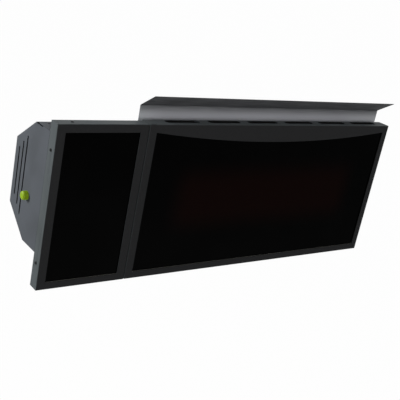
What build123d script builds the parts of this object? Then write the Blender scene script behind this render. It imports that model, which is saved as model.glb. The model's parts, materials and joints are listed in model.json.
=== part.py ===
from build123d import *
from collections import namedtuple
import math
import os

os.makedirs("parts", exist_ok=True)

# A wall-hung gas radiant heater: a control box at the left and a burner box at the right, each with a
# black glass front in a folded steel frame. All sizes are millimetres. While it is modelled, X runs from
# the left end to the right, Y from the front face back to the wall, and Z up from the frames' lower edge.
# The written pieces have their origin at the middle of the wall plate's back face.

# Overall sizes of the two fronts
overall_length = 1000.0
face_height = 370.0
control_length = 217.5
frame_gap = 2.0

# Folded front frames
frame_sheet = 1.5
frame_edge_radius = 1.4
control_flange = 29.0
burner_flange = 36.0
control_side_bar = 20.0
burner_side_bar = 19.0
bottom_bar = 17.0
top_bar = 18.5
visor_sag = 24.0
frame_relief_margin = 2.5
frame_relief_length = 15.0
frame_relief_depth = 1.8
frame_relief_width = 3.0

# Glass panes, the gaskets either side of them, and the inner trays that clamp them
glass_thickness = 4.0
glass_edge_clearance = 3.0
glass_edge_chamfer = 0.5
gasket_thickness = 1.5
gasket_width = 12.0
tray_sheet = 1.2
tray_lip_setback = 2.0

# Exhaust slots through the top of the burner frame
exhaust_slots = 6
exhaust_slot_length = 94.5
exhaust_slot_pitch = 119.6
exhaust_slot_width = 17.0
exhaust_slot_depth = 15.0
exhaust_slot_margin = 52.0

# Casing behind the frames: its section is the same along the whole heater
casing_sheet = 1.2
casing_top = 346.0
casing_bottom = 78.0
casing_depth = 174.0
casing_top_depth = 92.0
casing_bottom_depth = 91.0
casing_back_top = 287.0
casing_back_bottom = 137.0
casing_bend_radius = 2.5
end_panel_fold = 30.0
seam_notch_start = 60.0
seam_notch_length = 29.0
seam_notch_height = 2.6
seam_notch_reach = 4.0

# Air louvres in the left end panel
louvres = 3
louvre_width = 5.0
louvre_length = 179.5
louvre_pitch = 17.0
louvre_first_depth = 122.0
louvre_centre_height = 215.6

# Fasteners
screw_head_radius = 3.4
screw_head_height = 1.6
screw_shank_radius = 2.0
screw_length = 7.0
screw_clearance = 0.1
screw_socket_flats = 3.0
screw_socket_depth = 1.0
frame_screw_depth = 15.0
frame_screw_height = 59.0
frame_screw_inset = 39.0
burner_bottom_screws = 4
rivet_head_radius = 2.6
rivet_head_height = 0.9
rivet_shank_radius = 1.6
rivet_length = 4.0
rivet_inset = 22.0
rivet_from_bend = 12.0
rivet_back_setback = 25.0

# Heat deflector on top of the burner box
deflector_sheet = 1.0
deflector_front = 52.0
deflector_bend_height = 398.0
deflector_edge_depth = 2.0
deflector_edge_height = 431.0
deflector_foot_length = 24.0
deflector_bend_radius = 3.0
deflector_screws = 5
deflector_screw_margin = 60.0

# Ceramic burner
tile_columns = 6
tile_length = 92.0
tile_height = 132.0
tile_thickness = 13.0
tile_joint = 1.0
tile_groove_pitch = 11.0
tile_groove_width = 3.0
tile_groove_depth = 1.5
burner_centre_height = 188.0
tile_seat_width = 2.0
face_plate_sheet = 1.2
face_plate_front = 54.8
face_plate_margin = 17.0
face_plate_tile_cover = 5.0
plenum_sheet = 1.2
plenum_depth = 64.0
reflector_sheet = 0.8
reflector_foot = 14.0
reflector_end_sheet = 0.8
reflector_end_gap = 0.3
reflector_bend_setback = 2.0
mesh_wire = 2.0
mesh_pitch = 26.0
mesh_gap_to_plate = 12.0
mesh_border = 6.0
mesh_post_radius = 2.5
mesh_posts = 3
heat_shield_sheet = 1.0
heat_shield_gap = 26.0
heat_shield_length = 620.0
heat_shield_margin = 4.0
plenum_strut_width = 30.0
plenum_strut_height = 40.0
plenum_strut_spacing = 380.0

# Gas line, all on one axis from the inlet to the burner
gas_axis_depth = 95.0
gas_axis_height = 181.0
inlet_thread_radius = 8.33
inlet_thread_length = 9.0
inlet_flange_radius = 14.0
inlet_flange_thickness = 5.0
inlet_tail_length = 12.0
inlet_hole_clearance = 0.2
inlet_thread_chamfer = 0.8
cap_wall = 1.5
cap_clearance = 0.17
cap_length = 12.5
cap_end_wall = 3.0
cap_grip_ribs = 12
cap_grip_radius = 0.7
cap_end_round = 4.5
pipe_radius = 5.0
pipe_wall = 1.0
union_nut_flats = 17.0
union_nut_length = 10.0
valve_start = 66.0
valve_length = 80.0
valve_depth = 46.0
valve_height = 44.0
valve_bore_radius = 5.2
valve_corner_radius = 4.0
valve_top_chamfer = 1.0
coil_radius = 14.0
coil_height = 34.0
coil_spacing = 38.0
coil_edge_radius = 2.0
core_radius = 6.0
core_bore_radius = 4.6
core_height = 37.0
core_cap = 2.5
plunger_clearance = 0.06
plunger_length = 24.0
valve_bracket_sheet = 2.0
valve_bracket_width = 50.0
valve_bracket_toe = 8.0
injector_radius = 6.0
injector_jet_radius = 0.9
injector_length = 16.0
injector_flats = 16.0
injector_hex_share = 0.6
injector_face = 2.0
injector_tip_gap = 2.0
holder_half_width = 12.0
holder_arm_clearance = 9.0
venturi_mouth_radius = 21.0
venturi_throat_radius = 13.0
venturi_outlet_radius = 18.0
venturi_wall = 1.2
venturi_mouth_gap = 4.0
venturi_bell_length = 22.0
venturi_throat_length = 24.0
venturi_hole_clearance = 0.5

# Ignition and electrical pieces in the control box
controller_length = 110.0
controller_depth = 38.0
controller_height = 96.0
controller_start = 52.0
controller_base_height = 168.0
controller_edge_radius = 2.0
terminal_length = 42.0
terminal_depth = 26.0
terminal_height = 20.0
terminal_start = 140.0
terminal_front = 48.0
terminal_ways = 4
terminal_screw_radius = 2.2
terminal_screw_depth = 5.0
gland_hex_flats = 19.0
gland_hex_length = 5.0
gland_body_radius = 8.0
gland_bore_radius = 3.5
gland_cap_length = 11.0
gland_cap_round = 2.5
gland_tail = 2.0
gland_nut_length = 4.0
gland_nut_flats = 18.0
gland_position = 52.0
gland_depth = 62.0
board_thickness = 1.6
board_length = 110.0
board_height = 44.0
board_bottom = 42.0
board_strap_height = 30.0
board_strap_sheet = 1.2
board_chip_length = 18.0
board_chip_height = 18.0
board_chip_thickness = 5.0
board_chip_bottom = 12.0
electrode_positions = (36.0, 66.0)
electrode_drop = 10.0
electrode_radius = 3.5
electrode_collar_radius = 5.5
electrode_collar_length = 4.0
electrode_front = 12.0
electrode_back = 26.0
electrode_pin_radius = 1.2
electrode_pin_reach = 9.0
electrode_pin_rise = 24.0
electrode_pin_bend = 3.0
lead_radius = 2.0
lead_spacing = 5.0
lead_depth = 118.0
lead_height = 126.0
lead_bend_radius = 9.0
lead_turn_depth = 22.0
lead_drop = 14.0
lead_lean = 30.0
lead_run_past_panel = 30.0
lead_run_before_plenum = 12.0
grommet_radius = 10.0
grommet_lip_radius = 12.5
grommet_lip = 1.5
grommet_bore_radius = 6.0

# Joints between the two boxes
joining_bolt_radius = 3.0
joining_bolt_head_radius = 5.0
joining_bolt_head_height = 3.0
joining_spacer_radius = 8.0
joining_bolt_clearance = 0.2
joining_places = ((60.0, 320.0), (60.0, 104.0), (158.0, 262.0), (158.0, 160.0))

# Tilting wall bracket
wall_depth = 265.0
wall_plate_sheet = 3.0
wall_plate_length = 400.0
wall_plate_height = 130.0
wall_plate_corner = 8.0
wall_hole_radius = 4.5
wall_hole_spacing_x = 340.0
wall_hole_spacing_z = 90.0
pivot_depth = 215.0
pivot_height = 212.0
pivot_radius = 5.0
pivot_clearance = 0.06
pivot_side_gap = 0.3
ear_radius = 18.0
ear_span = 342.0
hanger_sheet = 3.0
hanger_height = 100.0
hanger_flange = 36.0
hanger_corner_radius = 4.0
hanger_bolt_radius = 3.0
hanger_bolt_spacing = 70.0
hanger_bolt_length = 10.0
hanger_nut_flats = 10.0
hanger_nut_height = 5.0
hanger_head_height = 4.0
washer_radius = 10.0
washer_thickness = 1.5
pivot_head_flats = 16.0
pivot_head_height = 6.4
pivot_nut_height = 8.0
pivot_thread_end = 2.0

overcut = 1.0

Section = namedtuple("Section", "left right flange side_bar sag")
control = Section(0.0, control_length, control_flange, control_side_bar, 0.0)
burner = Section(control_length + frame_gap, overall_length, burner_flange, burner_side_bar, visor_sag)

centre_x = overall_length / 2
pane_front = frame_sheet + gasket_thickness
pane_back = pane_front + glass_thickness
tray_front = pane_back + gasket_thickness
casing_inner_back = casing_depth - casing_sheet
casing_floor = casing_bottom + casing_sheet
casing_ceiling = casing_top - casing_sheet
to_wall_plate = Pos(-centre_x, -wall_depth, -pivot_height)


def save(name, *pieces):
    solids = [solid.moved(to_wall_plate) for piece in pieces for solid in piece.solids()]
    shape = solids[0] if len(solids) == 1 else Compound(solids)
    export_step(shape, f"parts/{name}.step")


def slab(x0, x1, y0, y1, z0, z1):
    return Pos(x0, y0, z0) * Box(x1 - x0, y1 - y0, z1 - z0, align=Align.MIN)


def rod(start, direction, radius, length):
    ends = (Align.CENTER, Align.CENTER, Align.MIN)
    return Plane(origin=start, z_dir=direction) * Cylinder(radius, length, align=ends)


def hexagon(start, direction, flats, length):
    outline = Plane(origin=start, z_dir=direction) * RegularPolygon(flats / 2, 6, major_radius=False)
    return extrude(outline, amount=length, dir=direction)


def along_x(sketch, x0, x1):
    # the sketch is drawn in Y and Z
    return extrude(Plane.YZ.offset(x0) * sketch, amount=x1 - x0, dir=(1, 0, 0))


def along_y(sketch, y0, y1):
    # the sketch is drawn in X and Z
    return extrude(Plane.XZ.offset(-y0) * sketch, amount=y1 - y0, dir=(0, 1, 0))


def folded(points, sheet, radius, x0, x1):
    # a bent strip: the drawn line is one face of the sheet, and the other lies to its left
    line = FilletPolyline(*points, radius=radius)
    return along_x(make_face(offset(line, sheet, side=Side.LEFT, closed=True).edges()), x0, x1)


# Front frames, gaskets, panes and the trays behind them


def window(section, border=0.0):
    left = section.left + section.side_bar - border
    right = section.right - section.side_bar + border
    low = bottom_bar - border
    high = face_height - top_bar + border
    sides = Polyline((left, high), (left, low), (right, low), (right, high))
    if section.sag:
        lid = ThreePointArc((right, high), ((left + right) / 2, high - section.sag), (left, high))
    else:
        lid = Line((right, high), (left, high))
    return make_face(sides.edges() + lid.edges())


def frame_screw_seats(section):
    # where each screw's head sits on the frame, and which way it faces
    depth = frame_screw_depth
    seats = []
    heights = (frame_screw_height, face_height - frame_screw_height)
    if section is control:
        ends = (section.left + frame_screw_inset, section.right - frame_screw_inset)
        seats += [((0.0, depth, height), (-1, 0, 0)) for height in heights]
        seats.append(((ends[0], depth, face_height), (0, 0, 1)))
        seats += [((x, depth, 0.0), (0, 0, -1)) for x in ends]
    else:
        run = section.right - section.left - 2 * frame_screw_inset
        step = run / (burner_bottom_screws - 1)
        places = [section.left + frame_screw_inset + step * turn for turn in range(burner_bottom_screws)]
        seats += [((section.right, depth, height), (1, 0, 0)) for height in heights]
        seats += [((x, depth, 0.0), (0, 0, -1)) for x in places]
    return seats


def inward(direction):
    return tuple(-part for part in direction)


def drill(body, seats, radius, depth):
    for start, direction in seats:
        body -= rod(start, inward(direction), radius, depth)
    return body


def exhaust_openings(low, high):
    first = burner.left + exhaust_slot_margin + exhaust_slot_length / 2
    middle = exhaust_slot_depth + exhaust_slot_width / 2
    slots = []
    for turn in range(exhaust_slots):
        outline = SlotOverall(exhaust_slot_length, exhaust_slot_width)
        place = Pos(first + turn * exhaust_slot_pitch, middle, low)
        slots.append(extrude(place * outline, amount=high - low, dir=(0, 0, 1)))
    return slots


def front_frame(section):
    body = slab(section.left, section.right, 0, section.flange, 0, face_height)
    body = fillet(body.faces().sort_by(Axis.Y)[0].edges(), frame_edge_radius)
    body -= slab(
        section.left + frame_sheet, section.right - frame_sheet,
        frame_sheet, section.flange + overcut,
        frame_sheet, face_height - frame_sheet,
    )
    body -= along_y(window(section), -overcut, frame_sheet + overcut)
    body = drill(body, frame_screw_seats(section), screw_shank_radius + screw_clearance, 2 * frame_sheet)
    if section is burner:
        for slot in exhaust_openings(face_height - frame_sheet - overcut, face_height + overcut):
            body -= slot
        relief = section.left + frame_relief_margin
        body -= slab(
            relief, relief + frame_relief_length,
            frame_relief_depth, frame_relief_depth + frame_relief_width,
            face_height - frame_sheet - overcut, face_height + overcut,
        )
    return body


def pane(section, front, back, shrink=0.0):
    edge = frame_sheet + glass_edge_clearance + shrink
    return slab(
        section.left + edge, section.right - edge, front, back, edge, face_height - edge,
    )


def glass(section):
    body = pane(section, pane_front, pane_back)
    return chamfer(body.edges().filter_by(Axis.Y, reverse=True), glass_edge_chamfer)


def gasket(section, front):
    back = front + gasket_thickness
    return pane(section, front, back) - pane(section, front - overcut, back + overcut, gasket_width)


def tray(section):
    left = section.left + frame_sheet
    right = section.right - frame_sheet
    high = face_height - frame_sheet
    body = slab(left, right, tray_front, section.flange, frame_sheet, high)
    body -= slab(
        left + tray_sheet, right - tray_sheet,
        tray_front + tray_sheet, section.flange - tray_sheet,
        frame_sheet + tray_sheet, high - tray_sheet,
    )
    flat = section._replace(sag=0.0)
    body -= along_y(window(flat, tray_lip_setback), tray_front - overcut, tray_front + tray_sheet + overcut)
    body -= slab(
        left + tray_sheet, right - tray_sheet,
        section.flange - tray_sheet - overcut, section.flange + overcut,
        casing_floor, casing_ceiling,
    )
    reach = 2 * (frame_sheet + tray_sheet)
    body = drill(body, frame_screw_seats(section), screw_shank_radius + screw_clearance, reach)
    if section is burner:
        for slot in exhaust_openings(high - tray_sheet - overcut, high + overcut):
            body -= slot
    return body


# Casing wrappers and end panels


def casing_corners(front):
    return [
        (front, casing_top),
        (casing_top_depth, casing_top),
        (casing_depth, casing_back_top),
        (casing_depth, casing_back_bottom),
        (casing_bottom_depth, casing_bottom),
        (front, casing_bottom),
    ]


def casing_outline(front, inset=0.0):
    outline = Polygon(*casing_corners(front), align=None)
    bends = outline.vertices().filter_by(lambda corner: corner.X > front + overcut)
    outline = fillet(bends, casing_bend_radius)
    if inset:
        outline = offset(outline, -inset, kind=Kind.INTERSECTION)
    return outline


def casing_skin(front, inset, sheet, x0, x1):
    # a folded sheet that follows the casing's section and is open at the front
    ahead = front - 10 * overcut
    body = along_x(casing_outline(ahead, inset), x0, x1)
    body -= along_x(casing_outline(ahead, inset + sheet), x0 - overcut, x1 + overcut)
    return body - slab(x0 - overcut, x1 + overcut, ahead - overcut, front, 0, face_height)


def skin_points(front):
    # rivet places round the section, each with its outward normal
    corners = casing_corners(front)
    stations = (
        (corners[1], corners[0], (rivet_from_bend,)),
        (corners[1], corners[2], (None,)),
        (corners[2], corners[3], (rivet_back_setback, -rivet_back_setback)),
        (corners[3], corners[4], (None,)),
        (corners[4], corners[5], (rivet_from_bend,)),
    )
    middle = Vector(front, (casing_top + casing_bottom) / 2)
    points = []
    for start, end, distances in stations:
        run = Vector(*end) - Vector(*start)
        normal = Vector(-run.Y, run.X).normalized()
        if normal.dot(Vector(*start) - middle) < 0:
            normal = -normal
        for distance in distances:
            if distance is None:
                distance = run.length / 2
            elif distance < 0:
                distance += run.length
            points.append((Vector(*start) + run.normalized() * distance, normal))
    return points


def casing_rivet_seats(section):
    seats = []
    for x in (section.left + rivet_inset, section.right - rivet_inset):
        for point, normal in skin_points(section.flange):
            seats.append(((x, point.X, point.Y), (0.0, normal.X, normal.Y)))
    return seats


def seam_notch():
    return slab(
        control.left - overcut, control.left + seam_notch_reach,
        seam_notch_start, seam_notch_start + seam_notch_length,
        casing_top - seam_notch_height, casing_top + overcut,
    )


def joining_seats(x):
    return [((x, depth, height), (-1, 0, 0)) for depth, height in joining_places]


def hanger_seats(section):
    # bolts that hold the two hangers on the back of the burner casing
    seats = []
    if section is burner:
        for side in (-1, 1):
            x = centre_x + side * (ear_span / 2 - pivot_side_gap - hanger_flange / 2)
            for rise in (-hanger_bolt_spacing / 2, hanger_bolt_spacing / 2):
                seats.append(((x, casing_depth, pivot_height + rise), (0, 1, 0)))
    return seats


def deflector_seats():
    run = burner.right - burner.left - 2 * deflector_screw_margin
    depth = deflector_front + deflector_foot_length / 2 + deflector_sheet
    first = burner.left + deflector_screw_margin
    places = [first + run * turn / (deflector_screws - 1) for turn in range(deflector_screws)]
    return [((x, depth, casing_top + deflector_sheet), (0, 0, 1)) for x in places]


def casing(section):
    x0 = section.left + casing_sheet
    x1 = section.right - casing_sheet
    body = casing_skin(section.flange, 0.0, casing_sheet, x0, x1)
    body = drill(body, casing_rivet_seats(section), rivet_shank_radius, rivet_length)
    body = drill(body, hanger_seats(section), hanger_bolt_radius + screw_clearance, hanger_bolt_length)
    if section is burner:
        body = drill(body, deflector_seats(), screw_shank_radius + screw_clearance, screw_length)
    else:
        body -= seam_notch()
        start = (gland_position, gland_depth, casing_bottom - overcut)
        hole = gland_body_radius + screw_clearance
        body -= rod(start, (0, 0, 1), hole, casing_sheet + 2 * overcut)
    return body


def end_panel(section, side):
    # side is -1 at the section's left end and 1 at its right end
    outer = section.left if side < 0 else section.right
    plate_inner = outer - side * casing_sheet
    fold_inner = outer - side * end_panel_fold
    x0, x1 = sorted((outer, plate_inner))
    body = along_x(casing_outline(section.flange), x0, x1)
    x0, x1 = sorted((plate_inner, fold_inner))
    body += casing_skin(section.flange, casing_sheet, casing_sheet, x0, x1)
    return drill(body, casing_rivet_seats(section), rivet_shank_radius, rivet_length)


def through_holes(body):
    # what passes from the control box into the burner box
    x0 = control.right - casing_sheet - overcut
    reach = frame_gap + 2 * (casing_sheet + overcut)
    venturi_hole = venturi_mouth_radius + venturi_wall + venturi_hole_clearance
    body -= rod((x0, gas_axis_depth, gas_axis_height), (1, 0, 0), venturi_hole, reach)
    body -= rod((x0, lead_depth, lead_height), (1, 0, 0), grommet_radius, reach)
    for start, direction in joining_seats(x0):
        body -= rod(start, inward(direction), joining_bolt_radius + joining_bolt_clearance, reach)
    return body


def louvred_panel():
    body = end_panel(control, -1)
    for turn in range(louvres):
        length = louvre_length - 2 * louvre_pitch * turn
        place = Pos(louvre_first_depth + louvre_pitch * turn, louvre_centre_height)
        slot = place * SlotOverall(length, louvre_width, rotation=90)
        body -= along_x(slot, -overcut, casing_sheet + overcut)
    hole = inlet_thread_radius + inlet_hole_clearance
    body -= rod((-overcut, gas_axis_depth, gas_axis_height), (1, 0, 0), hole, casing_sheet + 2 * overcut)
    return body - seam_notch()


# Screws and rivets


def screw(seat, direction, length):
    top = tuple(place + screw_head_height * part for place, part in zip(seat, direction))
    head = rod(seat, direction, screw_head_radius, screw_head_height)
    head = fillet(head.edges().sort_by_distance(top)[0], screw_head_height / 2)
    head -= hexagon(top, inward(direction), screw_socket_flats, screw_socket_depth)
    return head + rod(seat, inward(direction), screw_shank_radius, length)


def rivet(seat, direction):
    head = rod(seat, direction, rivet_head_radius, rivet_head_height)
    top = tuple(place + rivet_head_height * part for place, part in zip(seat, direction))
    head = fillet(head.edges().sort_by_distance(top)[0], rivet_head_height / 2)
    return head + rod(seat, inward(direction), rivet_shank_radius, rivet_length)


# Heat deflector


def deflector():
    points = [
        (deflector_edge_depth, deflector_edge_height),
        (deflector_front, deflector_bend_height),
        (deflector_front, casing_top),
        (deflector_front + deflector_foot_length, casing_top),
    ]
    body = folded(points, deflector_sheet, deflector_bend_radius, burner.left, burner.right)
    return drill(body, deflector_seats(), screw_shank_radius + screw_clearance, screw_length)


# Ceramic burner

tile_field = tile_columns * tile_length + (tile_columns - 1) * tile_joint
burner_middle = (burner.left + burner.right) / 2
field_left = burner_middle - tile_field / 2
field_right = burner_middle + tile_field / 2
field_low = burner_centre_height - tile_height / 2
field_high = burner_centre_height + tile_height / 2
face_plate_back = face_plate_front + face_plate_sheet
plate_low = field_low - face_plate_margin
plate_high = field_high + face_plate_margin
burner_inner_left = burner.left + burner.side_bar
burner_inner_right = burner.right - burner.side_bar
tray_web_front = burner.flange - tray_sheet


def tiles():
    pieces = []
    grooves = int((tile_height - tile_groove_pitch) / tile_groove_pitch)
    for column in range(tile_columns):
        left = field_left + column * (tile_length + tile_joint)
        right = left + tile_length
        back = face_plate_back + tile_thickness
        body = slab(left, right, face_plate_back, back, field_low, field_high)
        for groove in range(grooves):
            low = field_low + tile_groove_pitch * (groove + 1) - tile_groove_width / 2
            body -= slab(
                left - overcut, right + overcut,
                face_plate_back - overcut, face_plate_back + tile_groove_depth,
                low, low + tile_groove_width,
            )
        pieces.append(body)
    return pieces


def field_block(grow, front, back):
    return slab(field_left - grow, field_right + grow, front, back, field_low - grow, field_high + grow)


def tile_seal():
    back = face_plate_back + tile_thickness
    body = field_block(tile_seat_width, face_plate_back, back)
    return body - field_block(0, face_plate_back - overcut, back + overcut)


def plenum():
    inner = tile_seat_width
    outer = inner + plenum_sheet
    back = face_plate_back + plenum_depth
    body = field_block(outer, face_plate_back, back)
    body -= field_block(inner, face_plate_back - overcut, back - plenum_sheet)
    start = (field_left - outer - overcut, gas_axis_depth, gas_axis_height)
    return body - rod(start, (1, 0, 0), venturi_outlet_radius, outer + 2 * overcut)


def electrode_places():
    height = field_low - electrode_drop
    return [(field_left + place, height) for place in electrode_positions]


def mesh_post_places():
    left = field_left - mesh_border / 2
    step = (tile_field + mesh_border) / (mesh_posts - 1)
    low = plate_low + mesh_border
    high = plate_high - mesh_border
    return [(left + step * turn, height) for turn in range(mesh_posts) for height in (low, high)]


def face_plate():
    body = slab(
        burner_inner_left, burner_inner_right, face_plate_front, face_plate_back, plate_low, plate_high,
    )
    body -= field_block(-face_plate_tile_cover, face_plate_front - overcut, face_plate_back + overcut)
    for x, height in electrode_places():
        start = (x, face_plate_front - overcut, height)
        body -= rod(start, (0, 1, 0), electrode_radius, face_plate_sheet + 2 * overcut)
    return body


def radiant_mesh():
    back = face_plate_front - mesh_gap_to_plate
    front = back - mesh_wire
    low = plate_low + mesh_border / 2
    high = plate_high - mesh_border / 2
    width = tile_field + 2 * mesh_border
    height = high - low
    frame = Pos(burner_middle, (low + high) / 2) * Rectangle(width, height)
    columns = int((width - mesh_wire) / mesh_pitch)
    rows = int((height - mesh_wire) / mesh_pitch)
    gap_x = (width - mesh_wire) / columns
    gap_z = (height - mesh_wire) / rows
    gaps = GridLocations(gap_x, gap_z, columns, rows)
    gap = Rectangle(gap_x - mesh_wire, gap_z - mesh_wire)
    frame -= [Pos(burner_middle, (low + high) / 2) * place * gap for place in gaps]
    return along_y(frame, front, back)


def mesh_standoffs():
    back = face_plate_front - reflector_sheet
    length = mesh_gap_to_plate - reflector_sheet
    return [rod((x, back - length, z), (0, 1, 0), mesh_post_radius, length) for x, z in mesh_post_places()]


def reflector_slope(side):
    # the front line of a reflector's sloping face, from the face plate's edge to the tray's
    edge = plate_high if side > 0 else plate_low
    seat = casing_ceiling if side > 0 else casing_floor
    bend = (face_plate_front - reflector_sheet, edge)
    flare = (tray_web_front - reflector_sheet, seat - side * reflector_bend_setback)
    return bend, flare


def reflector(side):
    # side is 1 above the burner and -1 below it: a bright strip from the face plate to the tray
    bend, flare = reflector_slope(side)
    start = (bend[0], bend[1] - side * reflector_foot)
    end = (flare[0], flare[1] + side * reflector_foot)
    points = [start, bend, flare, end]
    if side > 0:
        points.reverse()
    body = folded(points, reflector_sheet, reflector_sheet, burner_inner_left, burner_inner_right)
    for x, height in electrode_places():
        start = (x, bend[0] - overcut, height)
        body -= rod(start, (0, 1, 0), electrode_radius, reflector_sheet + 2 * overcut)
    return body


def reflector_ends():
    corners = reflector_slope(1)[::-1] + reflector_slope(-1)
    outline = Polygon(*[(depth - reflector_end_gap, height) for depth, height in corners], align=None)
    sheet = reflector_end_sheet
    left = along_x(outline, burner_inner_left, burner_inner_left + sheet)
    right = along_x(outline, burner_inner_right - sheet, burner_inner_right)
    return [left, right]


def plenum_struts():
    front = face_plate_back + plenum_depth
    back = casing_inner_back - heat_shield_gap
    pieces = []
    for side in (-1, 1):
        x = burner_middle + side * plenum_strut_spacing / 2
        low = burner_centre_height - plenum_strut_height / 2
        body = slab(
            x - plenum_strut_width / 2, x + plenum_strut_width / 2,
            front, back, low, low + plenum_strut_height,
        )
        body -= slab(
            x - plenum_strut_width / 2 - overcut, x + plenum_strut_width / 2 + overcut,
            front + 2 * plenum_sheet, back - 2 * plenum_sheet,
            low + 2 * plenum_sheet, low + plenum_strut_height + overcut,
        )
        pieces.append(body)
    return pieces


def heat_shield():
    front = casing_inner_back - heat_shield_gap
    low = casing_back_bottom + heat_shield_margin
    high = casing_back_top - heat_shield_margin
    points = [
        (casing_inner_back, low),
        (front, low),
        (front, high),
        (casing_inner_back, high),
    ]
    x0 = burner_middle - heat_shield_length / 2
    return folded(points[::-1], heat_shield_sheet, heat_shield_sheet, x0, x0 + heat_shield_length)


# Gas line


def on_gas_axis(x):
    return (x, gas_axis_depth, gas_axis_height)


valve_low = gas_axis_height - valve_height / 2
valve_top = valve_low + valve_height
valve_end = valve_start + valve_length
coil_places = [valve_start + valve_length / 2 + side * coil_spacing / 2 for side in (-1, 1)]
fitting_end = casing_sheet + inlet_flange_thickness + inlet_tail_length
venturi_start = control.right - casing_sheet - venturi_mouth_gap
plenum_outer_left = field_left - tile_seat_width - plenum_sheet


def inlet_fitting():
    right = (1, 0, 0)
    start = on_gas_axis(-inlet_thread_length)
    body = rod(start, right, inlet_thread_radius, inlet_thread_length + casing_sheet)
    body = chamfer(body.edges().sort_by(Axis.X)[0], inlet_thread_chamfer)
    body += rod(on_gas_axis(casing_sheet), right, inlet_flange_radius, inlet_flange_thickness)
    body += rod(on_gas_axis(casing_sheet), right, pipe_radius + pipe_wall, fitting_end - casing_sheet)
    length = inlet_thread_length + fitting_end + 2 * overcut
    return body - rod(on_gas_axis(-inlet_thread_length - overcut), right, pipe_radius - pipe_wall, length)


def inlet_cap():
    left = (-1, 0, 0)
    bore = inlet_thread_radius + cap_clearance
    outer = bore + cap_wall
    body = rod(on_gas_axis(0), left, outer, cap_length)
    body = fillet(body.edges().sort_by(Axis.X)[0], cap_end_round)
    body -= rod(on_gas_axis(overcut), left, bore, cap_length - cap_end_wall + overcut)
    for turn in range(cap_grip_ribs):
        angle = 2 * math.pi * turn / cap_grip_ribs
        reach = outer + cap_grip_radius / 3
        depth = gas_axis_depth + reach * math.cos(angle)
        height = gas_axis_height + reach * math.sin(angle)
        body -= rod((overcut, depth, height), left, cap_grip_radius, cap_length)
    return body


def pipe(x0, x1):
    body = rod(on_gas_axis(x0), (1, 0, 0), pipe_radius, x1 - x0)
    return body - rod(on_gas_axis(x0 - overcut), (1, 0, 0), pipe_radius - pipe_wall, x1 - x0 + 2 * overcut)


def union_nut(x):
    body = hexagon(on_gas_axis(x), (1, 0, 0), union_nut_flats, union_nut_length)
    return body - rod(on_gas_axis(x - overcut), (1, 0, 0), pipe_radius, union_nut_length + 2 * overcut)


def gas_valve():
    front = gas_axis_depth - valve_depth / 2
    body = slab(valve_start, valve_end, front, front + valve_depth, valve_low, valve_top)
    body = fillet(body.edges().filter_by(Axis.Z), valve_corner_radius)
    body = chamfer(body.faces().sort_by(Axis.Z)[-1].edges(), valve_top_chamfer)
    length = valve_length + 2 * overcut
    return body - rod(on_gas_axis(valve_start - overcut), (1, 0, 0), valve_bore_radius, length)


def coil(x):
    body = rod((x, gas_axis_depth, valve_top), (0, 0, 1), coil_radius, coil_height)
    body = fillet(body.edges().filter_by(GeomType.CIRCLE), coil_edge_radius)
    start = (x, gas_axis_depth, valve_top - overcut)
    return body - rod(start, (0, 0, 1), core_radius, coil_height + 2 * overcut)


def core_tube(x):
    body = rod((x, gas_axis_depth, valve_top), (0, 0, 1), core_radius, core_height)
    start = (x, gas_axis_depth, valve_top - overcut)
    return body - rod(start, (0, 0, 1), core_bore_radius, core_height - core_cap + overcut)


def plunger(x):
    radius = core_bore_radius - plunger_clearance
    return rod((x, gas_axis_depth, valve_top), (0, 0, 1), radius, plunger_length)


def valve_bracket():
    # a folded foot from the casing's floor up to the valve's underside
    front = gas_axis_depth - valve_bracket_width / 2
    x0 = valve_start + valve_length / 2 - valve_bracket_width / 2
    points = [
        (front - valve_bracket_toe, casing_floor),
        (front, casing_floor),
        (front, valve_low - valve_bracket_sheet),
        (front + valve_bracket_width, valve_low - valve_bracket_sheet),
    ]
    return folded(points, valve_bracket_sheet, valve_bracket_sheet, x0, x0 + valve_bracket_width)


feed_pipe_end = venturi_start - injector_length - injector_tip_gap


def injector():
    right = (1, 0, 0)
    body = hexagon(on_gas_axis(feed_pipe_end), right, injector_flats, injector_length * injector_hex_share)
    body += rod(on_gas_axis(feed_pipe_end), right, injector_radius, injector_length)
    depth = injector_length - injector_face + overcut
    body -= rod(on_gas_axis(feed_pipe_end - overcut), right, pipe_radius - pipe_wall, depth)
    return body - rod(on_gas_axis(feed_pipe_end), right, injector_jet_radius, injector_length + overcut)


def mixing_tube():
    # a bell mouth, a throat, and a cone that widens to the burner
    stations = (
        (venturi_start, venturi_mouth_radius),
        (venturi_start + venturi_bell_length, venturi_throat_radius),
        (venturi_start + venturi_bell_length + venturi_throat_length, venturi_throat_radius),
        (plenum_outer_left, venturi_outlet_radius),
    )
    inner = [(x, radius) for x, radius in stations]
    outer = [(x, radius + venturi_wall) for x, radius in reversed(stations)]
    profile = Plane.XY * Polygon(*inner, *outer, align=None)
    return Pos(0, gas_axis_depth, gas_axis_height) * revolve(profile, Axis.X)


def injector_holder():
    # a bracket on the partition that holds the injector in the middle of the bell mouth
    x1 = control.right - casing_sheet
    x0 = feed_pipe_end + valve_bracket_sheet
    arm = venturi_mouth_radius + holder_arm_clearance
    front = gas_axis_depth - holder_half_width
    back = gas_axis_depth + holder_half_width
    plate = slab(x0, x0 + valve_bracket_sheet, front, back, gas_axis_height - arm, gas_axis_height + arm)
    plate -= hexagon(on_gas_axis(x0 - overcut), (1, 0, 0), injector_flats, valve_bracket_sheet + 2 * overcut)
    legs = []
    for side in (-1, 1):
        edge = gas_axis_height + side * arm
        low, high = sorted((edge, edge - side * valve_bracket_sheet))
        legs.append(slab(x0, x1, front, back, low, high))
    return plate + legs[0] + legs[1]


# Ignition and electrical pieces


def controller():
    back = casing_inner_back
    body = slab(
        controller_start, controller_start + controller_length,
        back - controller_depth, back,
        controller_base_height, controller_base_height + controller_height,
    )
    return fillet(body.edges().filter_by(Axis.Y), controller_edge_radius)


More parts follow.
